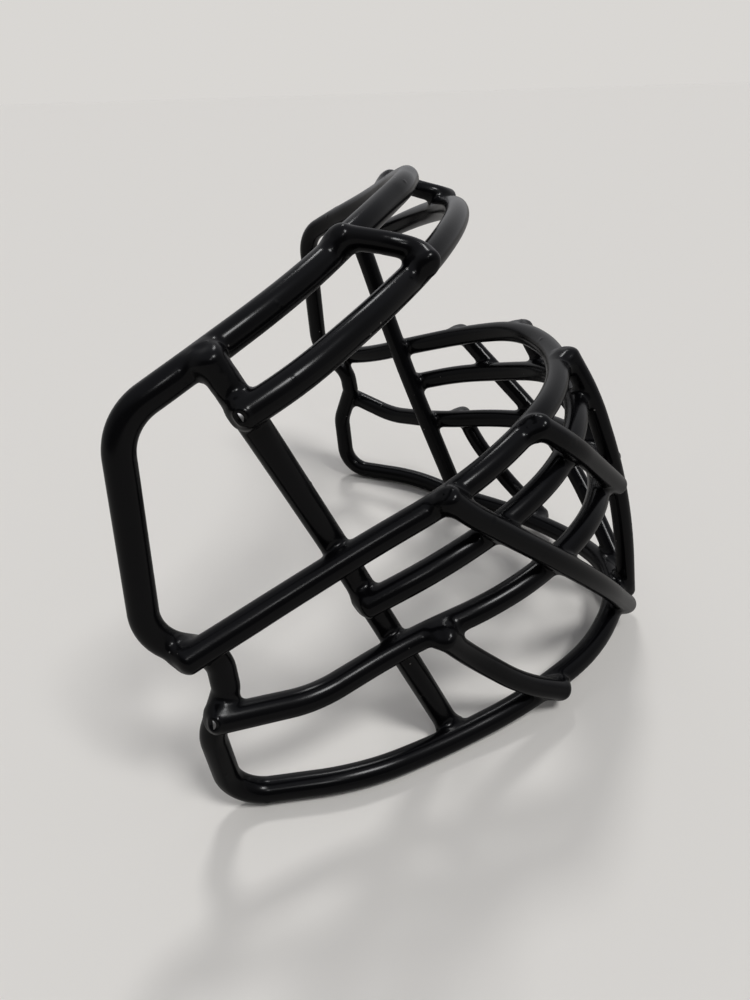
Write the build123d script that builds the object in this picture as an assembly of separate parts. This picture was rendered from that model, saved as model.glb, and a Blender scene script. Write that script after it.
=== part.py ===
from build123d import *
import math
import os

# A dip-coated welded wire cage, the face mask of a contact-sports helmet.
# Millimetres. X runs across the face, the wearer's right is -X. The front faces -Y. +Z is up.
# The mask stands on its chin bar, as it lies on a table.

# Spans of the wire centre lines
HALF_WIDTH = 115.0
DEPTH = 144.0
HEIGHT = 162.0

# Steel wire diameters, and the plastic coat on every wire
MAIN_WIRE = 6.3
SLANT_WIRE = 5.5
LINK_WIRE = 4.6
COAT = 0.8

# Bend radii of the frame wire on its centre line, from the middle of the brow down to the chin corner.
# The brow's own bends leave straight runs between them, where the helmet's straps hold it.
BROW_MIDDLE_BEND = 48.0
BROW_OUTER_BEND = 95.0
TOP_CORNER_BEND = 26.0
JAW_BEND = 16.0
JOG_UPPER_BEND = 10.5
JOG_INNER_BEND = 6.2
JOG_LOWER_BEND = 14.0
CHIN_CORNER_BEND = 12.2

# Bend of the lower mouth bar where it leaves the frame, and rounding of the coat at a cut wire end
LOWER_BAR_END_BEND = 42.5
END_ROUNDING = 1.6

# A bend takes at most this much of the shorter run beside it, and one with no radius of its own takes it all
GENTLE_BEND_SHARE = 0.49

# Weld nugget between two lapped wires, by the diameter of the thinner wire
NUGGET_SHARE = 0.3

# Bend points of the wires, right half, in shares of (half width, depth, height).
# Depth is measured from the front, height from the table.
BROW_SHARES = [
    (-0.907, 0.999, 0.777),
    (-0.827, 0.904, 0.827),
    (-0.599, 0.752, 0.905),
    (-0.331, 0.660, 0.966),
    (-0.104, 0.610, 0.997),
]
SIDE_SHARES = [
    (-0.980, 0.996, 0.422),
    (-0.917, 0.892, 0.370),
    (-0.929, 0.884, 0.300),
    (-0.945, 0.924, 0.198),
]
CHIN_SHARES = [
    (-0.926, 0.909, 0.028),
    (-0.838, 0.645, 0.031),
    (-0.696, 0.480, 0.024),
    (-0.529, 0.289, 0.042),
    (-0.318, 0.128, 0.059),
    (-0.106, 0.049, 0.081),
]
LOWER_BROW_SHARES = [
    (-0.872, 0.812, 0.772),
    (-0.777, 0.724, 0.809),
    (-0.614, 0.628, 0.860),
    (-0.385, 0.541, 0.907),
    (-0.131, 0.497, 0.935),
]
UPPER_MOUTH_SHARES = [
    (-1.005, 0.937, 0.396),
    (-0.863, 0.802, 0.436),
    (-0.736, 0.641, 0.499),
    (-0.603, 0.460, 0.564),
    (-0.403, 0.326, 0.620),
    (-0.146, 0.253, 0.636),
]
MIDDLE_MOUTH_SHARES = [
    (-0.747, 0.648, 0.381),
    (-0.666, 0.506, 0.432),
    (-0.533, 0.366, 0.478),
    (-0.357, 0.252, 0.528),
    (-0.129, 0.202, 0.556),
]
LOWER_MOUTH_SHARES = [
    (-0.998, 0.907, 0.270),
    (-0.859, 0.728, 0.242),
    (-0.699, 0.564, 0.280),
    (-0.574, 0.353, 0.332),
    (-0.374, 0.197, 0.380),
    (-0.130, 0.128, 0.389),
]
UPRIGHT_SHARES = [
    (-0.828, 0.860, 0.861),
    (-0.805, 0.804, 0.753),
    (-0.701, 0.679, 0.458),
    (-0.622, 0.471, 0.019),
]
LINK_SHARES = [
    (-0.482, 0.698, 0.966),
    (-0.417, 0.612, 0.945),
    (-0.414, 0.551, 0.932),
    (-0.472, 0.524, 0.918),
]
JAW_SLANT_SHARES = [
    (-0.714, 0.488, 0.312),
    (-0.649, 0.434, 0.231),
    (-0.575, 0.312, 0.116),
    (-0.486, 0.202, 0.047),
]
CENTRE_SHARES = [
    (0.0, 0.235, 0.667),
    (0.0, 0.165, 0.567),
    (0.0, 0.090, 0.401),
    (0.0, 0.040, 0.237),
    (0.0, 0.006, 0.048),
]
# The slants are set by hand in the welding jig, so each side has its own
OUTER_SLANT_RIGHT_SHARES = [
    (-0.671, 0.490, 0.583),
    (-0.641, 0.442, 0.536),
    (-0.441, 0.158, 0.310),
    (-0.084, 0.014, 0.062),
]
OUTER_SLANT_LEFT_SHARES = [
    (0.684, 0.504, 0.561),
    (0.655, 0.448, 0.512),
    (0.459, 0.167, 0.290),
    (0.089, 0.009, 0.065),
]
INNER_SLANT_RIGHT_SHARES = [
    (-0.438, 0.322, 0.641),
    (-0.371, 0.235, 0.575),
    (-0.080, 0.083, 0.381),
]
INNER_SLANT_LEFT_SHARES = [
    (0.446, 0.322, 0.629),
    (0.437, 0.250, 0.519),
    (0.081, 0.073, 0.379),
]


def place(shares):
    """Turns a table of shares into points of the part, with the front of the centre lines at -DEPTH/2."""
    return [Vector(x * HALF_WIDTH, (y - 1 / 2) * DEPTH, z * HEIGHT) for x, y, z in shares]


def opposite(points):
    """The same points on the other side of the face."""
    return [Vector(-point.X, point.Y, point.Z) for point in points]


def full_span(points):
    """A right half and its mirror image as one line across the face."""
    return points + opposite(points[::-1])


def middle(first, second):
    """The point halfway between two points."""
    return (first + second) / 2


def gentle(points):
    """For each point, a bend with no radius of its own."""
    return [None] * len(points)


def loop_radii(points, bends):
    """The radius at each point of a closed line."""
    radii = []
    befores = points[-1:] + points[:-1]
    afters = points[1:] + points[:1]
    for before, corner, after, bend in zip(befores, points, afters, bends):
        incoming = corner - before
        outgoing = after - corner
        half_turn = math.tan(math.radians(incoming.get_angle(outgoing)) / 2)
        room = GENTLE_BEND_SHARE * min(incoming.length, outgoing.length)
        tangent = room if bend is None else min(room, bend * half_turn)
        radii.append(tangent / half_turn)
    return radii


def line_radii(points, bends):
    """The radius at each inner point of an open line."""
    return loop_radii(points, bends)[1:-1]


def drawn_in(points, length):
    """The same line with both ends shortened by a length."""
    first = points[0] + (points[1] - points[0]).normalized() * length
    last = points[-1] + (points[-2] - points[-1]).normalized() * length
    return [first] + points[1:-1] + [last]


def rod(path, diameter):
    """A round bar along a path."""
    start = Plane(origin=path @ 0, z_dir=path % 0)
    return sweep(start * Circle(diameter / 2), path=path)


def round_ends(bar, path):
    """Rounds the rims of the two cut ends of a coated bar."""
    tips = [path @ 0, path @ 1]
    rims = [
        edge
        for edge in bar.edges().filter_by(GeomType.CIRCLE)
        if min((edge.arc_center - tip).length for tip in tips) < COAT
    ]
    return fillet(rims, END_ROUNDING)


# The wires, by name: centre line, steel diameter, steel rod and rod with its coat
paths = {}
diameters = {}
steel = {}
coated = {}


def add_wire(name, points, radii, diameter, joined=False):
    """Adds a wire. A joined one goes on in the next stretch, so its ends aren't cut and coated over."""
    path = FilletPolyline(*points, radius=radii)
    paths[name] = path
    diameters[name] = diameter
    bar = rod(path, diameter + 2 * COAT)
    if joined:
        steel[name] = rod(path, diameter)
        coated[name] = bar
    else:
        steel[name] = rod(FilletPolyline(*drawn_in(points, COAT), radius=radii), diameter)
        coated[name] = round_ends(bar, path)


# Frame: one closed wire. It runs from the right top corner over the brow, down the left side,
# along the chin and up the right side, in four stretches that meet halfway along straight runs.
brow = place(BROW_SHARES)
side = place(SIDE_SHARES)
chin = place(CHIN_SHARES)
brow_bends = [TOP_CORNER_BEND, None, None, BROW_OUTER_BEND, BROW_MIDDLE_BEND]
side_bends = [JAW_BEND, JOG_UPPER_BEND, JOG_INNER_BEND, JOG_LOWER_BEND]
chin_bends = [CHIN_CORNER_BEND] + gentle(chin[1:])
stretches = [
    ("frame_brow", full_span(brow), brow_bends + brow_bends[::-1]),
    ("frame_side_left", opposite(side), side_bends),
    ("frame_chin", opposite(full_span(chin)), chin_bends + chin_bends[::-1]),
    ("frame_side_right", side[::-1], side_bends[::-1]),
]
frame_points = [point for name, points, bends in stretches for point in points]
frame_bends = [bend for name, points, bends in stretches for bend in bends]
frame_radii = loop_radii(frame_points, frame_bends)
first = 0
for name, points, bends in stretches:
    after = first + len(points)
    start = middle(frame_points[first - 1], points[0])
    end = middle(points[-1], frame_points[after % len(frame_points)])
    add_wire(name, [start] + points + [end], frame_radii[first:after], MAIN_WIRE, joined=True)
    first = after

# Bars across the face
for name, shares, end_bend in (
    ("lower_brow_bar", LOWER_BROW_SHARES, None),
    ("upper_mouth_bar", UPPER_MOUTH_SHARES, None),
    ("middle_mouth_bar", MIDDLE_MOUTH_SHARES, None),
    ("lower_mouth_bar", LOWER_MOUTH_SHARES, LOWER_BAR_END_BEND),
):
    half_points = place(shares)
    half_bends = [None, end_bend] + gentle(half_points[2:])
    points = full_span(half_points)
    add_wire(name, points, line_radii(points, half_bends + half_bends[::-1]), MAIN_WIRE)

# Uprights beside the eyes, brow links and jaw slants, each with its mirror image
for name, shares, diameter in (
    ("upright", UPRIGHT_SHARES, MAIN_WIRE),
    ("brow_link", LINK_SHARES, LINK_WIRE),
    ("jaw_slant", JAW_SLANT_SHARES, SLANT_WIRE),
):
    points = place(shares)
    radii = line_radii(points, gentle(points))
    add_wire(name + "_right", points, radii, diameter)
    add_wire(name + "_left", opposite(points), radii, diameter)

# Outer and inner slants and the centre bar
for name, shares in (
    ("outer_slant_right", OUTER_SLANT_RIGHT_SHARES),
    ("outer_slant_left", OUTER_SLANT_LEFT_SHARES),
    ("inner_slant_right", INNER_SLANT_RIGHT_SHARES),
    ("inner_slant_left", INNER_SLANT_LEFT_SHARES),
    ("centre_bar", CENTRE_SHARES),
):
    points = place(shares)
    add_wire(name, points, line_radii(points, gentle(points)), SLANT_WIRE)

# Lap welds, as pairs of the outer and the inner wire
laps = [
    ("centre_bar", "upper_mouth_bar"),
    ("centre_bar", "middle_mouth_bar"),
    ("centre_bar", "lower_mouth_bar"),
    ("centre_bar", "frame_chin"),
]
for hand in ("_right", "_left"):
    laps += [
        ("upright" + hand, "frame_brow"),
        ("lower_brow_bar", "upright" + hand),
        ("upper_mouth_bar", "upright" + hand),
        ("middle_mouth_bar", "upright" + hand),
        ("lower_mouth_bar", "upright" + hand),
        ("frame_chin", "upright" + hand),
        ("brow_link" + hand, "frame_brow"),
        ("brow_link" + hand, "lower_brow_bar"),
        ("upper_mouth_bar", "frame_side" + hand),
        ("lower_mouth_bar", "frame_side" + hand),
        ("outer_slant" + hand, "upper_mouth_bar"),
        ("outer_slant" + hand, "middle_mouth_bar"),
        ("outer_slant" + hand, "lower_mouth_bar"),
        ("outer_slant" + hand, "frame_chin"),
        ("inner_slant" + hand, "upper_mouth_bar"),
        ("inner_slant" + hand, "middle_mouth_bar"),
        ("inner_slant" + hand, "lower_mouth_bar"),
        ("jaw_slant" + hand, "lower_mouth_bar"),
        ("jaw_slant" + hand, "frame_chin"),
    ]


def nugget(outer, inner):
    """The round neck of weld metal that ties two lapped wires together, from centre line to centre line."""
    near, far = paths[outer].closest_points(paths[inner])
    diameter = NUGGET_SHARE * min(diameters[outer], diameters[inner])
    return Solid.make_cylinder(diameter / 2, (far - near).length, Plane(origin=near, z_dir=far - near))


# Welding sets the inner wire into the outer one, so the two lie face to face, tied by the nugget
for outer, inner in laps:
    tie = nugget(outer, inner)
    steel[outer] += tie
    coated[outer] += tie
for outer, inner in laps:
    steel[inner] -= steel[outer]

# The coat lies on the steel, and the inner wire's coat ends where the outer wire's begins
coats = {name: coated[name] - steel[name] for name in paths}
for outer, inner in laps:
    coats[inner] -= coated[outer]
    coats[outer] -= steel[inner]

# The frame's wire is one piece
frame_wire = Part() + [steel.pop(name) for name, points, bends in stretches]
pieces = {"frame_wire": frame_wire}
for name, solid in steel.items():
    pieces[name + "_wire"] = solid
for name, solid in coats.items():
    pieces[name + "_coat"] = solid

# The origin is on the table, under the middle of the mask's box
box = Compound(children=[Compound(piece.wrapped) for piece in pieces.values()]).bounding_box()
to_origin = Pos(-box.center().X, -box.center().Y, -box.min.Z)

os.makedirs("parts", exist_ok=True)
for name, piece in pieces.items():
    export_step(to_origin * piece, "parts/" + name + ".step")
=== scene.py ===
import math

import bpy
import numpy as np
from mathutils import Matrix, Vector


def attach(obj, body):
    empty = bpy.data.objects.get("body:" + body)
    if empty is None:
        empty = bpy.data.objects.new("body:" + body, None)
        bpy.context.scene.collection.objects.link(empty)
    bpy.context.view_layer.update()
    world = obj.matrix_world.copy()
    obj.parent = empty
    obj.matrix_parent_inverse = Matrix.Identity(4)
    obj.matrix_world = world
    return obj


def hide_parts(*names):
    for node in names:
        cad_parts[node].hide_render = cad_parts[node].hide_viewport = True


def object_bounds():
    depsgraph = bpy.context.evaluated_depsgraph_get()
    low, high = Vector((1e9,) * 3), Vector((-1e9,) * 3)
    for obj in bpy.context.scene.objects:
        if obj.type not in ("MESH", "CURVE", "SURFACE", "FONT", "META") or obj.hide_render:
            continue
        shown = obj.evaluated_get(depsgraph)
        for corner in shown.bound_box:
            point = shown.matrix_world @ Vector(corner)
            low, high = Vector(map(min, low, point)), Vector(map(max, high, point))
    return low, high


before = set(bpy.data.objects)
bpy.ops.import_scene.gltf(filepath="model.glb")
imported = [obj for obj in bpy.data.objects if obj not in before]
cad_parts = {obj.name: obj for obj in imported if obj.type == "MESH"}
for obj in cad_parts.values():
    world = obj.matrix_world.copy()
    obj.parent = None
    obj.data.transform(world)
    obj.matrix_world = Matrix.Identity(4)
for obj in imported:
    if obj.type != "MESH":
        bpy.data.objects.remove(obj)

cad_low, cad_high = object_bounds()
bpy.ops.object.select_all(action="DESELECT")

MM = 0.001


# Bent wires
# Sixteen steel wires are cold bent to shape before they are welded. Each is drawn here by its bend
# points, straight between them with one arc at each, as the solid wires are.

# The lengths that the bend points are given as shares of, and where depth and height are counted from
HALF_WIDTH = 115 * MM
DEPTH = 144 * MM
HEIGHT = 162 * MM
FRONT_Y = -72.665 * MM
TABLE_Z = -0.3205 * MM

# Radii of the wires over their coat
BAR_RADIUS = 3.95 * MM
SLANT_RADIUS = 3.55 * MM
LINK_RADIUS = 3.1 * MM

# Bend radii of the frame, and the share of a run that a gentle bend takes
BROW_MIDDLE_BEND = 48 * MM
BROW_OUTER_BEND = 95 * MM
TOP_CORNER_BEND = 26 * MM
JAW_BEND = 16 * MM
JOG_UPPER_BEND = 10.5 * MM
JOG_INNER_BEND = 6.2 * MM
JOG_LOWER_BEND = 14 * MM
CHIN_CORNER_BEND = 12.2 * MM
LOWER_BAR_END_BEND = 42.5 * MM
GENTLE_BEND_SHARE = 0.49

# Bend points as shares of the half width, depth and height, in order along each wire. Where the two
# sides of the face mirror each other, only the right one is given
BROW_SHARES = [
    (-0.907, 0.999, 0.777),
    (-0.827, 0.904, 0.827),
    (-0.599, 0.752, 0.905),
    (-0.331, 0.660, 0.966),
    (-0.104, 0.610, 0.997),
]
SIDE_SHARES = [
    (-0.980, 0.996, 0.422),
    (-0.917, 0.892, 0.370),
    (-0.929, 0.884, 0.300),
    (-0.945, 0.924, 0.198),
]
CHIN_SHARES = [
    (-0.926, 0.909, 0.028),
    (-0.838, 0.645, 0.031),
    (-0.696, 0.480, 0.024),
    (-0.529, 0.289, 0.042),
    (-0.318, 0.128, 0.059),
    (-0.106, 0.049, 0.081),
]
LOWER_BROW_SHARES = [
    (-0.872, 0.812, 0.772),
    (-0.777, 0.724, 0.809),
    (-0.614, 0.628, 0.860),
    (-0.385, 0.541, 0.907),
    (-0.131, 0.497, 0.935),
]
UPPER_MOUTH_SHARES = [
    (-1.005, 0.937, 0.396),
    (-0.863, 0.802, 0.436),
    (-0.736, 0.641, 0.499),
    (-0.603, 0.460, 0.564),
    (-0.403, 0.326, 0.620),
    (-0.146, 0.253, 0.636),
]
MIDDLE_MOUTH_SHARES = [
    (-0.747, 0.648, 0.381),
    (-0.666, 0.506, 0.432),
    (-0.533, 0.366, 0.478),
    (-0.357, 0.252, 0.528),
    (-0.129, 0.202, 0.556),
]
LOWER_MOUTH_SHARES = [
    (-0.998, 0.907, 0.270),
    (-0.859, 0.728, 0.242),
    (-0.699, 0.564, 0.280),
    (-0.574, 0.353, 0.332),
    (-0.374, 0.197, 0.380),
    (-0.130, 0.128, 0.389),
]
UPRIGHT_SHARES = [
    (-0.828, 0.860, 0.861),
    (-0.805, 0.804, 0.753),
    (-0.701, 0.679, 0.458),
    (-0.622, 0.471, 0.019),
]
LINK_SHARES = [
    (-0.482, 0.698, 0.966),
    (-0.417, 0.612, 0.945),
    (-0.414, 0.551, 0.932),
    (-0.472, 0.524, 0.918),
]
JAW_SLANT_SHARES = [
    (-0.714, 0.488, 0.312),
    (-0.649, 0.434, 0.231),
    (-0.575, 0.312, 0.116),
    (-0.486, 0.202, 0.047),
]
CENTRE_SHARES = [
    (0.0, 0.235, 0.667),
    (0.0, 0.165, 0.567),
    (0.0, 0.090, 0.401),
    (0.0, 0.040, 0.237),
    (0.0, 0.006, 0.048),
]
OUTER_SLANT_RIGHT_SHARES = [
    (-0.671, 0.490, 0.583),
    (-0.641, 0.442, 0.536),
    (-0.441, 0.158, 0.310),
    (-0.084, 0.014, 0.062),
]
OUTER_SLANT_LEFT_SHARES = [
    (0.684, 0.504, 0.561),
    (0.655, 0.448, 0.512),
    (0.459, 0.167, 0.290),
    (0.089, 0.009, 0.065),
]
INNER_SLANT_RIGHT_SHARES = [
    (-0.438, 0.322, 0.641),
    (-0.371, 0.235, 0.575),
    (-0.080, 0.083, 0.381),
]
INNER_SLANT_LEFT_SHARES = [
    (0.446, 0.322, 0.629),
    (0.437, 0.250, 0.519),
    (0.081, 0.073, 0.379),
]


def place(shares):
    """Bend points from a table of shares of the half width, depth and height."""
    return [
        Vector((x * HALF_WIDTH, FRONT_Y + y * DEPTH, TABLE_Z + z * HEIGHT))
        for x, y, z in shares
    ]


def opposite(points):
    """The same bend points on the other side of the face."""
    return [Vector((-p.x, p.y, p.z)) for p in points]


def full_span(points):
    """A right half and its mirror image as one line across the face."""
    return points + opposite(points[::-1])


def gentle(points):
    """For each point, a bend with no radius of its own."""
    return [None] * len(points)


def bend(points, bends, closed=False):
    """A bent wire as Bezier points, two for each bend, each between its left and its right handle."""
    count = len(points)
    stations = []
    for i in range(count) if closed else range(1, count - 1):
        corner = points[i]
        back = points[i - 1] - corner
        ahead = points[(i + 1) % count] - corner
        turn = math.pi - back.angle(ahead)
        tangent = GENTLE_BEND_SHARE * min(back.length, ahead.length)
        if bends[i] is not None:
            tangent = min(tangent, bends[i] * math.tan(turn / 2))
        # A handle of this length makes the Bezier run between the two points follow a round arc
        handle = 4 / 3 * math.tan(turn / 4) * tangent / math.tan(turn / 2)
        start = corner + back.normalized() * tangent
        end = corner + ahead.normalized() * tangent
        stations.append((start, start, start - back.normalized() * handle))
        stations.append((end - ahead.normalized() * handle, end, end))
    if closed:
        return stations
    return [(points[0],) * 3] + stations + [(points[-1],) * 3]


brow = place(BROW_SHARES)
side = place(SIDE_SHARES)
chin = place(CHIN_SHARES)
brow_bends = [TOP_CORNER_BEND, None, None, BROW_OUTER_BEND, BROW_MIDDLE_BEND]
side_bends = [JAW_BEND, JOG_UPPER_BEND, JOG_INNER_BEND, JOG_LOWER_BEND]
chin_bends = [CHIN_CORNER_BEND] + gentle(chin[1:])

# Each wire by name: its Bezier points and the radius over its coat
wires = {}
wires["frame"] = (
    bend(
        full_span(brow) + opposite(side) + opposite(full_span(chin)) + side[::-1],
        brow_bends + brow_bends[::-1] + side_bends + chin_bends + chin_bends[::-1] + side_bends[::-1],
        closed=True,
    ),
    BAR_RADIUS,
)
for name, shares, end_bend in (
    ("lower_brow_bar", LOWER_BROW_SHARES, None),
    ("upper_mouth_bar", UPPER_MOUTH_SHARES, None),
    ("middle_mouth_bar", MIDDLE_MOUTH_SHARES, None),
    ("lower_mouth_bar", LOWER_MOUTH_SHARES, LOWER_BAR_END_BEND),
):
    half_bends = [None, end_bend] + gentle(shares[2:])
    wires[name] = (bend(full_span(place(shares)), half_bends + half_bends[::-1]), BAR_RADIUS)
for name, shares, radius in (
    ("upright", UPRIGHT_SHARES, BAR_RADIUS),
    ("brow_link", LINK_SHARES, LINK_RADIUS),
    ("jaw_slant", JAW_SLANT_SHARES, SLANT_RADIUS),
):
    points = place(shares)
    wires[name + "_right"] = (bend(points, gentle(points)), radius)
    wires[name + "_left"] = (bend(opposite(points), gentle(points)), radius)
for name, shares in (
    ("outer_slant_right", OUTER_SLANT_RIGHT_SHARES),
    ("outer_slant_left", OUTER_SLANT_LEFT_SHARES),
    ("inner_slant_right", INNER_SLANT_RIGHT_SHARES),
    ("inner_slant_left", INNER_SLANT_LEFT_SHARES),
    ("centre_bar", CENTRE_SHARES),
):
    wires[name] = (bend(place(shares), gentle(shares)), SLANT_RADIUS)


# Steel wires
# The wires are drawn carbon steel rod, lap welded where they cross. They lie sealed inside the coat,
# so only the dull grey of the drawn rod and its mill scale is given to them.

STEEL_DARK = (0.30, 0.29, 0.28, 1)
STEEL_PALE = (0.48, 0.48, 0.49, 1)
STEEL_SMOOTHEST = 0.32
STEEL_ROUGHEST = 0.55
MILL_SCALE_PATCHES = 160.0


def add_node(owner, kind, inputs, **settings):
    """Adds a shader node to a material or world. An input is a plain value or another node's output."""
    made = owner.node_tree.nodes.new("ShaderNode" + kind)
    for name, value in settings.items():
        setattr(made, name, value)
    for name, value in inputs.items():
        if isinstance(value, bpy.types.NodeSocket):
            owner.node_tree.links.new(value, made.inputs[name])
        else:
            made.inputs[name].default_value = value
    return made


def new_material(name):
    """A material with its shader node, and the object's own coordinates for its patterns."""
    material = bpy.data.materials.new(name)
    material.use_nodes = True
    place_on_object = add_node(material, "TexCoord", {}).outputs["Object"]
    return material, material.node_tree.nodes["Principled BSDF"], place_on_object


steel, steel_shader, steel_place = new_material("drawn_steel")
patches = add_node(steel, "TexNoise", {"Vector": steel_place, "Scale": MILL_SCALE_PATCHES, "Detail": 6.0})
steel_colour = add_node(
    steel, "MixRGB", {"Fac": patches.outputs["Fac"], "Color1": STEEL_DARK, "Color2": STEEL_PALE}
)
steel_roughness = add_node(
    steel,
    "MapRange",
    {"Value": patches.outputs["Fac"], "To Min": STEEL_SMOOTHEST, "To Max": STEEL_ROUGHEST},
)
steel_shader.inputs["Metallic"].default_value = 1.0
steel.node_tree.links.new(steel_colour.outputs["Color"], steel_shader.inputs["Base Color"])
steel.node_tree.links.new(steel_roughness.outputs["Result"], steel_shader.inputs["Roughness"])
for name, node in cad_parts.items():
    if name.endswith("_wire"):
        node.data.materials.clear()
        node.data.materials.append(steel)


# Dip coat
# The welded mask is dipped in liquid black plastic, which sets as one glossy skin about 0.8 mm thick.
# It rounds the cut ends, shrinks back to a dimple in their middles, and draws into soft webs where
# wires cross. The skin is parted wire by wire, so each of its pieces stands for its wire's own coat.

# The skin: the size of its faces, the rounding of a cut end, and how deep a parted rim is folded in
SKIN_GRAIN = 0.56 * MM
END_ROUNDING = 2.5 * MM
SEAM_DEPTH = 0.8 * MM

# The tubes it is first made from: the steps from one Bezier point to the next, and the roundness, which
# gives 16 sides
TUBE_STEPS = 16
TUBE_ROUNDNESS = 6

# The holes at cut ends: how far the finer grain reaches and how fine it is, how far round the end's
# rounded edge a wide hole lies and the way it faces there, the steepness of the wall, and the rim of
# plastic, whose height is for a hole 1 mm wide and whose place is a share of the hole's width
HOLE_REACH = 2.7 * MM
HOLE_CUTS = 3
EDGE_TURN = math.radians(40)
AWAY_SHARES = (1, -0.5, 0.5)
HOLE_STEEPNESS = 4
RIM_HEIGHT = 0.14 * MM
RIM_WIDTH = 0.6 * MM
RIM_SHARE = 1.75

# The webs: how near two coats come before they draw together, the same at a welded end of a wire, and
# how far round the end that is felt
WEB_REACH = 2.6 * MM
END_WEB_REACH = 7 * MM
END_WEB_SPREAD = 6 * MM

# The centre lines: the samples taken of each curve, the step between points, the points in a stretch
# and in the overlap of a closed line, and how near a stretch a point of the skin is measured
CURVE_SAMPLES = 50
LINE_STEP = 0.4 * MM
LINE_STRETCH = 60
LAP_STEPS = 10
NEAR_WIRE = 9 * MM

# A distance beyond all of the wires, and the least number that anything is divided by
FAR = 1000 * MM
TINY = 1e-9

# The pulls that bring the skin onto the coat, and the least that a squared slope is taken as in them
PULLS = 5
LEAST_SLOPE_SQUARED = 0.05

# The swells: how many waves make one up, and the shares between which their closeness varies. Slow
# ones lie all over the coat, and two shorter kinds at the welds
WAVES_ADDED = 7
WAVE_SHARES = (0.7, 1.4)
SLOW_WAVE = 17 * MM
SLOW_WAVE_HEIGHT = 0.035 * MM
SLOW_WAVE_SEED = 3
WELD_WAVE = 3.6 * MM
WELD_WAVE_HEIGHT = 0.11 * MM
WELD_WAVE_SEED = 5
WELD_RIDGE = 1.8 * MM
WELD_RIDGE_HEIGHT = 0.035 * MM
WELD_RIDGE_SEED = 8

# The pimples: the shares of the full size that they come in, and how many widths each one reaches
PIMPLE_COUNT = 70
PIMPLE_HEIGHT = 0.13 * MM
PIMPLE_WIDTH = 0.55 * MM
PIMPLE_SHARES = (0.6, 1.3)
PIMPLE_REACH = 3
PIMPLE_SEED = 11

# Where the coat shrank back from a cut end it left a hole: its depth and width. A wide one lies on the
# edge of the end that faces away from the mask, and a small one in the end's middle
WIDE_HOLE = (0.76 * MM, 1.2 * MM)
SMALL_HOLE = (0.6 * MM, 0.35 * MM)
end_holes = {
    "lower_brow_bar": WIDE_HOLE,
    "lower_mouth_bar": WIDE_HOLE,
    "outer_slant_right": SMALL_HOLE,
    "outer_slant_left": SMALL_HOLE,
    "inner_slant_right": SMALL_HOLE,
    "inner_slant_left": SMALL_HOLE,
}


def hole_middles(name):
    """The middles of the holes at a wire's two ends."""
    stations, radius = wires[name]
    in_from_edge = END_ROUNDING * (1 - math.cos(EDGE_TURN))
    middles = []
    for tip, next_to_tip in ((stations[0][1], stations[1][1]), (stations[-1][1], stations[-2][1])):
        way = (tip - next_to_tip).normalized()
        away = Vector((math.copysign(AWAY_SHARES[0], tip.x), AWAY_SHARES[1], AWAY_SHARES[2]))
        away = (away - away.dot(way) * way).normalized()
        if end_holes[name] == WIDE_HOLE:
            middles.append(np.array(tip - in_from_edge * way + (radius - in_from_edge) * away))
        else:
            middles.append(np.array(tip))
    return middles


hole_places = {name: hole_middles(name) for name in end_holes}

# A tube along each wire, all joined and remade as one even skin
tubes = []
for name, (stations, radius) in wires.items():
    bpy.ops.curve.primitive_bezier_curve_add(location=(0, 0, 0))
    tube = bpy.context.object
    tube.name = name + "_tube"
    spline = tube.data.splines[0]
    spline.bezier_points.add(len(stations) - len(spline.bezier_points))
    for point, (left, middle, right) in zip(spline.bezier_points, stations):
        point.handle_left_type = "FREE"
        point.handle_right_type = "FREE"
        point.co = middle
        point.handle_left = left
        point.handle_right = right
    spline.use_cyclic_u = name == "frame"
    tube.data.resolution_u = TUBE_STEPS
    tube.data.bevel_depth = radius
    tube.data.bevel_resolution = TUBE_ROUNDNESS
    tube.data.use_fill_caps = True
    bpy.ops.object.convert(target="MESH")
    tubes.append(bpy.context.object)
bpy.ops.object.select_all(action="DESELECT")
for tube in tubes:
    tube.select_set(True)
bpy.context.view_layer.objects.active = tubes[0]
bpy.ops.object.join()
coat = bpy.context.object
skin = coat.modifiers.new("skin", "REMESH")
skin.mode = "VOXEL"
skin.voxel_size = SKIN_GRAIN
skin.use_smooth_shade = True
bpy.ops.object.modifier_apply(modifier="skin")


def read_vectors(parts, kind):
    """The vectors of one kind that a mesh keeps for its parts, a row for each."""
    rows = np.empty(len(parts) * 3)
    parts.foreach_get(kind, rows)
    return rows.reshape(-1, 3)


# A finer grain where the holes come
face_middles = read_vectors(coat.data.polygons, "center")
fine = np.zeros(len(face_middles), dtype=bool)
for middles in hole_places.values():
    for middle in middles:
        fine |= np.linalg.norm(face_middles - middle, axis=1) < HOLE_REACH
bpy.ops.object.mode_set(mode="EDIT")
bpy.ops.mesh.select_mode(type="FACE")
bpy.ops.mesh.select_all(action="DESELECT")
bpy.ops.object.mode_set(mode="OBJECT")
coat.data.polygons.foreach_set("select", fine)
bpy.ops.object.mode_set(mode="EDIT")
bpy.ops.mesh.subdivide(number_cuts=HOLE_CUTS)
bpy.ops.object.mode_set(mode="OBJECT")


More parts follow.
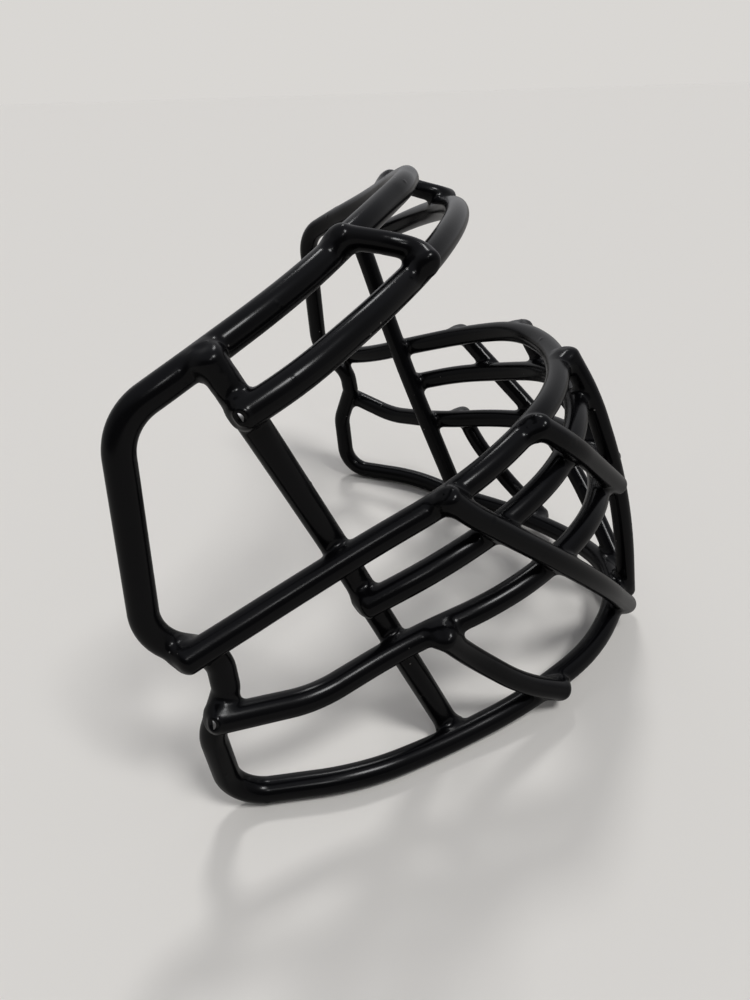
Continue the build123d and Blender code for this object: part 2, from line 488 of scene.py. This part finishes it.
def centre_line(stations, closed):
    """Points along the middle of a wire, one step apart, and the wire's direction at each."""
    share = np.linspace(0, 1, CURVE_SAMPLES, endpoint=False)[:, None]
    pairs = list(zip(stations, stations[1:] + stations[:1]))
    if not closed:
        pairs = pairs[:-1]
    points = []
    for (_, start, leaving), (arriving, end, _) in pairs:
        start, leaving, arriving, end = (np.array(p) for p in (start, leaving, arriving, end))
        points.append(
            (1 - share) ** 3 * start
            + 3 * (1 - share) ** 2 * share * leaving
            + 3 * (1 - share) * share**2 * arriving
            + share**3 * end
        )
    points = np.concatenate(points + [np.array(pairs[-1][1][1])[None]])
    along = np.concatenate([[0], np.cumsum(np.linalg.norm(np.diff(points, axis=0), axis=1))])
    if closed:
        lap = along[-1]
        points = np.concatenate([points[:-1], points, points[1:]])
        along = np.concatenate([along[:-1] - lap, along, along[1:] + lap])
        steps = np.arange(-LAP_STEPS * LINE_STEP, lap + LAP_STEPS * LINE_STEP, LINE_STEP)
    else:
        steps = np.linspace(0, along[-1], round(along[-1] / LINE_STEP))
    line = np.stack([np.interp(steps, along, points[:, axis]) for axis in range(3)], axis=1)
    direction = np.gradient(line, axis=0)
    direction /= np.linalg.norm(direction, axis=1)[:, None]
    return line, direction


lines = {name: centre_line(stations, name == "frame") for name, (stations, _) in wires.items()}


def near_stretches(points, line):
    """The stretches of a line, each by its first step, and which of the points lie near it."""
    stretches = []
    for first in range(0, len(line), LINE_STRETCH):
        stretch = line[first : first + LINE_STRETCH]
        low = stretch.min(axis=0) - NEAR_WIRE
        high = stretch.max(axis=0) + NEAR_WIRE
        inside = np.nonzero(((points > low) & (points < high)).all(axis=1))[0]
        if len(inside):
            stretches.append((first, inside))
    return stretches


def nearest_steps(points, line, stretches):
    """The points that lie near a line, and the step of the line that is nearest to each."""
    nearest = np.full(len(points), -1)
    best = np.full(len(points), FAR**2)
    for first, inside in stretches:
        stretch = line[first : first + LINE_STRETCH]
        apart_squared = np.zeros((len(inside), len(stretch)))
        for axis in range(3):
            apart_squared += (points[inside, axis, None] - stretch[None, :, axis]) ** 2
        step = apart_squared.argmin(axis=1)
        least = apart_squared[np.arange(len(inside)), step]
        closer = least < best[inside]
        best[inside[closer]] = least[closer]
        nearest[inside[closer]] = first + step[closer]
    chosen = np.nonzero(nearest >= 0)[0]
    return chosen, nearest[chosen]


def round_end(outside, beyond):
    """How far points lie outside a rounded end, and the side's and the end's shares in the way out."""
    side_part = outside + END_ROUNDING
    end_part = beyond + END_ROUNDING
    corner = np.hypot(np.maximum(side_part, 0), np.maximum(end_part, 0))
    depth = corner + np.minimum(np.maximum(side_part, end_part), 0) - END_ROUNDING
    in_corner = (side_part > 0) & (end_part > 0)
    corner = np.maximum(corner, TINY)
    side_share = np.where(in_corner, side_part / corner, side_part > end_part)
    end_share = np.where(in_corner, end_part / corner, side_part <= end_part)
    return depth, side_share, end_share


def sink_hole(depth, normal, from_middle, hole_depth, hole_width):
    """The depth outside the coat and the way out, with a hole and its rim drawn in."""
    apart = np.linalg.norm(from_middle, axis=1)
    hollow = hole_depth * np.exp(-((apart / hole_width) ** HOLE_STEEPNESS))
    wall = HOLE_STEEPNESS * hollow * apart ** (HOLE_STEEPNESS - 1) / hole_width**HOLE_STEEPNESS
    off_rim = apart - RIM_SHARE * hole_width
    rim = RIM_HEIGHT * hole_width / MM * np.exp(-((off_rim / RIM_WIDTH) ** 2))
    tilt = 2 * rim * off_rim / RIM_WIDTH**2 - wall
    normal = normal + (tilt / np.maximum(apart, TINY))[:, None] * from_middle
    return depth + hollow - rim, normal


def wire_depth(points, name, stretches):
    """The points near a wire, how far each lies outside its coat, and the way out. Inside is negative."""
    line, direction = lines[name]
    chosen, here = nearest_steps(points, line, stretches)
    spots = points[chosen]
    last = len(line) - 1

    # The foot of each point on the line lies between the nearest step and the next one that way
    ahead_by = ((spots - line[here]) * direction[here]).sum(axis=1)
    there = np.clip(here + np.where(ahead_by >= 0, 1, -1), 0, last)
    ahead_there = ((spots - line[there]) * direction[there]).sum(axis=1)
    gap = ahead_by - ahead_there
    share = np.where(there == here, 0, np.clip(ahead_by / np.where(gap == 0, 1, gap), 0, 1))
    foot = line[here] + share[:, None] * (line[there] - line[here])
    way = direction[here] + share[:, None] * (direction[there] - direction[here])
    way /= np.linalg.norm(way, axis=1)[:, None]
    off = spots - foot
    off -= (off * way).sum(axis=1)[:, None] * way
    from_line = np.linalg.norm(off, axis=1)
    outward = off / np.maximum(from_line, TINY)[:, None]
    outside = from_line - wires[name][1]
    if name == "frame":
        return chosen, outside, outward

    # How far each point is beyond the wire's nearer end, which is rounded and may have a hole
    place_on_line = (here + (there - here) * share) * LINE_STEP
    before_first = np.where(here == 0, -ahead_by, -place_on_line)
    past_last = np.where((here == last) & (ahead_by > 0), ahead_by, place_on_line - last * LINE_STEP)
    at_last = (past_last > before_first)[:, None]
    end_way = np.where(at_last, direction[last], -direction[0])
    depth, side_share, end_share = round_end(outside, np.maximum(before_first, past_last))
    normal = side_share[:, None] * outward + end_share[:, None] * end_way
    if name in end_holes:
        first_middle, last_middle = hole_places[name]
        from_middle = spots - np.where(at_last, last_middle, first_middle)
        depth, normal = sink_hole(depth, normal, from_middle, *end_holes[name])
    return chosen, depth, normal


def web_reaches(points):
    """How far a web reaches at each point. It is widest round the welded end of a wire."""
    nearness = np.zeros(len(points))
    for name, (stations, _) in wires.items():
        if name != "frame":
            for tip in (stations[0][1], stations[-1][1]):
                apart = np.linalg.norm(points - np.array(tip), axis=1)
                nearness = np.maximum(nearness, np.exp(-((apart / END_WEB_SPREAD) ** 2)))
    return WEB_REACH + (END_WEB_REACH - WEB_REACH) * nearness


def coat_depth(points, stretches, reaches):
    """How far points lie outside the whole coat, the way out, the share of web, and each wire's depth."""
    depth = np.full(len(points), FAR)
    normal = np.zeros_like(points)
    web = np.zeros(len(points))
    wire_depths = np.full((len(wires), len(points)), FAR, dtype=np.float32)
    for count, name in enumerate(wires):
        chosen, its_depth, its_normal = wire_depth(points, name, stretches[name])
        wire_depths[count, chosen] = its_depth
        old_depth = depth[chosen]
        reach = reaches[chosen]
        blend = np.maximum(reach - np.abs(old_depth - its_depth), 0) / reach
        its_share = np.where(its_depth < old_depth, 1 - blend / 2, blend / 2)[:, None]
        depth[chosen] = np.minimum(old_depth, its_depth) - blend**2 * reach / 4
        normal[chosen] = its_share * its_normal + (1 - its_share) * normal[chosen]
        web[chosen] = np.maximum(web[chosen], blend)
    return depth, normal, web, wire_depths


def waves(points, length, seed):
    """A smooth random swell with about this wave length, from -1 to 1, and its slope."""
    rng = np.random.default_rng(seed)
    height = np.zeros(len(points))
    slope = np.zeros_like(points)
    for _ in range(WAVES_ADDED):
        way = rng.normal(size=3)
        way *= 2 * math.pi / length / np.linalg.norm(way) * rng.uniform(*WAVE_SHARES)
        phase = points @ way + rng.uniform(0, 2 * math.pi)
        height += np.sin(phase) / WAVES_ADDED
        slope += np.cos(phase)[:, None] * way / WAVES_ADDED
    return height, slope


# Draw the skin onto the true surface of the coat
points = read_vectors(coat.data.vertices, "co")
stretches = {name: near_stretches(points, line) for name, (line, _) in lines.items()}
reaches = web_reaches(points)
for _ in range(PULLS):
    depth, normal, _, _ = coat_depth(points, stretches, reaches)
    pull = depth / np.maximum((normal**2).sum(axis=1), LEAST_SLOPE_SQUARED)
    points -= np.clip(pull, -MM, MM)[:, None] * normal
_, normal, web, wire_depths = coat_depth(points, stretches, reaches)
normal /= np.maximum(np.linalg.norm(normal, axis=1), TINY)[:, None]

# Swells of the coat, rougher at the welds, and small pimples
swell, swell_slope = waves(points, SLOW_WAVE, SLOW_WAVE_SEED)
ripple, ripple_slope = waves(points, WELD_WAVE, WELD_WAVE_SEED)
ridge, ridge_slope = waves(points, WELD_RIDGE, WELD_RIDGE_SEED)
weld_height = WELD_WAVE_HEIGHT * ripple + WELD_RIDGE_HEIGHT * ridge
weld_slope = WELD_WAVE_HEIGHT * ripple_slope + WELD_RIDGE_HEIGHT * ridge_slope
height = SLOW_WAVE_HEIGHT * (swell - 1) + web * weld_height
slope = SLOW_WAVE_HEIGHT * swell_slope + web[:, None] * weld_slope
rng = np.random.default_rng(PIMPLE_SEED)
for centre in points[rng.choice(len(points), PIMPLE_COUNT, replace=False)]:
    size = rng.uniform(*PIMPLE_SHARES)
    width = PIMPLE_WIDTH * size
    near = np.nonzero((np.abs(points - centre) < PIMPLE_REACH * width).all(axis=1))[0]
    off = points[near] - centre
    pimple = PIMPLE_HEIGHT * size * np.exp(-(off**2).sum(axis=1) / width**2)
    height[near] += pimple
    slope[near] -= (2 * pimple / width**2)[:, None] * off
points += height[:, None] * normal
normal -= slope - (slope * normal).sum(axis=1)[:, None] * normal
normal /= np.linalg.norm(normal, axis=1)[:, None]
points = np.clip(points, np.array(cad_low), np.array(cad_high))
coat.data.vertices.foreach_set("co", points.ravel())
way_out = coat.data.attributes.new("way_out", "FLOAT_VECTOR", "POINT")
way_out.data.foreach_set("vector", normal.astype(np.float32).ravel())

# Part the skin by the nearest wire
face_corners = np.empty(len(coat.data.loops), dtype=np.int64)
coat.data.loops.foreach_get("vertex_index", face_corners)
first_corners = np.empty(len(coat.data.polygons), dtype=np.int64)
coat.data.polygons.foreach_get("loop_start", first_corners)
face_depths = [np.add.reduceat(depths[face_corners], first_corners) for depths in wire_depths]
nearest_wire = np.stack(face_depths).argmin(axis=0)
coat.data.materials.clear()
for name in wires:
    coat.data.materials.append(bpy.data.materials.new(name))
coat.data.polygons.foreach_set("material_index", nearest_wire.astype(np.int32))
bpy.ops.object.mode_set(mode="EDIT")
bpy.ops.mesh.select_all(action="SELECT")
bpy.ops.mesh.separate(type="MATERIAL")
bpy.ops.object.mode_set(mode="OBJECT")
coat_pieces = {}
for piece in list(bpy.context.selected_objects):
    wire = piece.data.materials[piece.data.polygons[0].material_index].name
    coat_pieces[wire] = piece
    piece.name = wire + "_skin"

# Fold each cut rim inwards and close it, out of sight under the next wire's skin
for piece in coat_pieces.values():
    bpy.ops.object.select_all(action="DESELECT")
    piece.select_set(True)
    bpy.context.view_layer.objects.active = piece
    bpy.ops.object.mode_set(mode="EDIT")
    bpy.ops.mesh.select_mode(type="EDGE")
    bpy.ops.mesh.select_all(action="DESELECT")
    bpy.ops.mesh.select_non_manifold(
        use_wire=False, use_multi_face=False, use_non_contiguous=False, use_verts=False
    )
    bpy.ops.mesh.extrude_edges_move()
    bpy.ops.object.mode_set(mode="OBJECT")
    rim = np.empty(len(piece.data.vertices), dtype=bool)
    piece.data.vertices.foreach_get("select", rim)
    points = read_vectors(piece.data.vertices, "co")
    points[rim] -= SEAM_DEPTH * read_vectors(piece.data.attributes["way_out"].data, "vector")[rim]
    piece.data.vertices.foreach_set("co", points.ravel())
    bpy.ops.object.mode_set(mode="EDIT")
    bpy.ops.mesh.fill_holes(sides=0)
    bpy.ops.object.mode_set(mode="OBJECT")
    normal = read_vectors(piece.data.attributes["way_out"].data, "vector")
    piece.data.attributes.remove(piece.data.attributes["way_out"])
    piece.data.polygons.foreach_set("use_smooth", np.ones(len(piece.data.polygons), dtype=bool))
    piece.data.normals_split_custom_set_from_vertices(normal.tolist())

# Gloss black plastic: deep black, a faint skin like orange peel, finer specks in it and a little dust.
# The specks stand out by the relief height, and the peel by a share of it
DEEPEST_BLACK = (0.0012, 0.0012, 0.0016, 1)
PALEST_BLACK = (0.0024, 0.0024, 0.003, 1)
DUST_COLOUR = (0.22, 0.21, 0.20, 1)
SMOOTHEST_GLOSS = 0.16
ROUGHEST_GLOSS = 0.24
DUST_ROUGHNESS = 0.7
PLASTIC_IOR = 1.33
RELIEF_HEIGHT = 0.05 * MM
PEEL_SHARE = 0.03

# Its patterns, with scales in cells to a metre. Dots are sized as shares of a cell, and come in the
# cells whose random colour has more than the least red or green
PEEL_SCALE = 420.0
HAZE_SCALE = 90.0
SPECKS = {"scale": 260.0, "middle": 0.03, "rim": 0.11, "colour_part": "Red", "least": 0.86}
DUST = {"scale": 420.0, "middle": 0.05, "rim": 0.16, "colour_part": "Green", "least": 0.975}

coating, coating_shader, coating_place = new_material("dip_coat")


def dots(scale, middle, rim, colour_part, least):
    """Round dots in a few cells of a pattern, 1 in their middles and 0 from their rims on."""
    cells = add_node(coating, "TexVoronoi", {"Vector": coating_place, "Scale": scale})
    chance = add_node(coating, "SeparateColor", {"Color": cells.outputs["Color"]}).outputs[colour_part]
    fall = {"From Min": middle, "From Max": rim, "To Min": 1.0, "To Max": 0.0}
    dot = add_node(coating, "MapRange", {"Value": cells.outputs["Distance"], **fall})
    few = add_node(coating, "Math", {0: chance, 1: least}, operation="GREATER_THAN")
    both = add_node(coating, "Math", {0: dot.outputs["Result"], 1: few.outputs[0]}, operation="MULTIPLY")
    return both.outputs[0]


peel = add_node(coating, "TexNoise", {"Vector": coating_place, "Scale": PEEL_SCALE, "Detail": 1.0})
haze = add_node(coating, "TexNoise", {"Vector": coating_place, "Scale": HAZE_SCALE, "Detail": 1.0})
specks = dots(**SPECKS)
dust = dots(**DUST)
black = add_node(
    coating, "MixRGB", {"Fac": haze.outputs["Fac"], "Color1": DEEPEST_BLACK, "Color2": PALEST_BLACK}
)
black_with_dust = add_node(
    coating, "MixRGB", {"Fac": dust, "Color1": black.outputs["Color"], "Color2": DUST_COLOUR}
)
gloss = add_node(
    coating,
    "MapRange",
    {"Value": haze.outputs["Fac"], "To Min": SMOOTHEST_GLOSS, "To Max": ROUGHEST_GLOSS},
)
gloss_with_dust = add_node(
    coating, "MapRange", {"Value": dust, "To Min": gloss.outputs["Result"], "To Max": DUST_ROUGHNESS}
)
peel_height = add_node(coating, "Math", {0: peel.outputs["Fac"], 1: PEEL_SHARE}, operation="MULTIPLY")
full_height = add_node(coating, "Math", {0: peel_height.outputs[0], 1: specks}, operation="ADD")
relief = add_node(
    coating, "Bump", {"Height": full_height.outputs[0], "Distance": RELIEF_HEIGHT, "Strength": 1.0}
)
coating.node_tree.links.new(black_with_dust.outputs["Color"], coating_shader.inputs["Base Color"])
coating.node_tree.links.new(gloss_with_dust.outputs["Result"], coating_shader.inputs["Roughness"])
coating.node_tree.links.new(relief.outputs["Normal"], coating_shader.inputs["Normal"])
coating_shader.inputs["IOR"].default_value = PLASTIC_IOR

for wire, piece in coat_pieces.items():
    piece.data.materials.clear()
    piece.data.materials.append(coating)
    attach(piece, "root")
    if wire == "frame":
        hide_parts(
            "frame_brow_coat", "frame_side_right_coat", "frame_side_left_coat", "frame_chin_coat"
        )
    else:
        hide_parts(wire + "_coat")


# Floor
# The mask stands on a pale cloth, drawn here as one wide sheet, dull and plain. The gloss shows the
# sheet in a dimmer tone than the camera does, which keeps the black of the coat deep.

SHEET_WIDTH = 12000 * MM
SHEET_COLOUR = (0.785, 0.763, 0.725, 1)
SHEET_COLOUR_IN_GLOSS = (0.3, 0.292, 0.28, 1)

bpy.ops.object.select_all(action="DESELECT")
bpy.ops.mesh.primitive_plane_add(size=SHEET_WIDTH, location=(0, 0, 0))
floor = bpy.context.object
floor.name = "floor"
sheet, sheet_shader, _ = new_material("pale_sheet")
sheet_rays = add_node(sheet, "LightPath", {})
sheet_colour = add_node(
    sheet,
    "MixRGB",
    {
        "Fac": sheet_rays.outputs["Is Camera Ray"],
        "Color1": SHEET_COLOUR_IN_GLOSS,
        "Color2": SHEET_COLOUR,
    },
)
sheet.node_tree.links.new(sheet_colour.outputs["Color"], sheet_shader.inputs["Base Color"])
sheet_shader.inputs["Roughness"].default_value = 1.0
sheet_shader.inputs["Specular IOR Level"].default_value = 0.0
floor.data.materials.append(sheet)


# Studio light
# Soft lamps shine from three places overhead, one behind the mask and two over the camera's right
# shoulder, in a room that is pale behind the mask and dark towards the camera. A second lamp at two of
# the places lights the dull things only and leaves no highlight in the gloss.

BACKGROUND = (0.695, 0.678, 0.655, 1)
BEHIND = (0.43, 0.43, 0.44, 1)
BESIDE = (0.2, 0.2, 0.205, 1)
BEFORE = (0.05, 0.05, 0.05, 1)
OVERHEAD = (0.29, 0.295, 0.32, 1)

# Where the room's tones fade into each other, as parts of the way looked: along X, and up
BEFORE_TO_BESIDE = (-0.9, -0.1)
BESIDE_TO_BEHIND = (0.1, 0.9)
WALLS_TO_OVERHEAD = (0.45, 0.9)

# Each lamp's bearing from +X, height over the horizon and width in degrees, its strength, and whether
# the gloss shows it
LAMPS = [
    (10, 55, 9, 0.22, True),
    (10, 55, 9, 0.48, False),
    (-130, 60, 14, 0.85, True),
    (-130, 60, 18, 0.6, False),
    (-163, 46, 8, 0.12, True),
]

room = bpy.data.worlds.new("room")
bpy.context.scene.world = room
room.use_nodes = True
way_looked = add_node(room, "TexCoord", {}).outputs["Generated"]
way_parts = add_node(room, "SeparateXYZ", {"Vector": way_looked})


def fade(value, start, end):
    """From 0 to 1 between two values."""
    ramp = {"Value": value, "From Min": start, "From Max": end}
    return add_node(room, "MapRange", ramp, interpolation_type="SMOOTHSTEP").outputs["Result"]


def mixed(share, first, second):
    """One colour turning into another."""
    return add_node(room, "MixRGB", {"Fac": share, "Color1": first, "Color2": second}).outputs["Color"]


sides = mixed(fade(way_parts.outputs["X"], *BEFORE_TO_BESIDE), BEFORE, BESIDE)
walls = mixed(fade(way_parts.outputs["X"], *BESIDE_TO_BEHIND), sides, BEHIND)
surroundings = mixed(fade(way_parts.outputs["Z"], *WALLS_TO_OVERHEAD), walls, OVERHEAD)
rays = add_node(room, "LightPath", {})
seen = mixed(rays.outputs["Is Camera Ray"], surroundings, BACKGROUND)
room.node_tree.links.new(seen, room.node_tree.nodes["Background"].inputs["Color"])

for bearing, rise, width, strength, in_gloss in LAMPS:
    turn = Matrix.Rotation(math.radians(bearing), 3, "Z") @ Matrix.Rotation(math.radians(-rise), 3, "Y")
    stand = turn @ Vector((1, 0, 0))
    bpy.ops.object.light_add(type="SUN", location=stand)
    lamp = bpy.context.object
    lamp.data.angle = math.radians(width)
    lamp.data.energy = strength
    lamp.visible_glossy = in_gloss
    lamp.rotation_euler = (-stand).to_track_quat("-Z", "Y").to_euler()


# Camera
# It stands close by the mask's right side and looks down at it, as the photograph does. Its three
# directions are the picture's right, its down and the way it looks.

SENSOR_LONG_SIDE = 36
PICTURE_LONG_SIDE = 1000
FOCAL_LENGTH_IN_PIXELS = 748.49
CAMERA_STAND = (-249.30 * MM, -9.165 * MM, 193.28 * MM)
CAMERA_RIGHT = Vector((0.12977829, -0.99107128, -0.03058284))
CAMERA_DOWN = Vector((-0.50290323, -0.03920917, -0.86345294))
CAMERA_AHEAD = Vector((0.85454428, 0.12743766, -0.50350145))

bpy.ops.object.camera_add()
camera = bpy.context.object
camera.data.sensor_width = SENSOR_LONG_SIDE
camera.data.lens = FOCAL_LENGTH_IN_PIXELS / PICTURE_LONG_SIDE * SENSOR_LONG_SIDE
camera.data.clip_start = 10 * MM
turned = Matrix((CAMERA_RIGHT, -CAMERA_DOWN, -CAMERA_AHEAD)).transposed().to_4x4()
camera.matrix_world = Matrix.Translation(CAMERA_STAND) @ turned
bpy.context.scene.camera = camera
bpy.context.scene.view_settings.view_transform = "Standard"
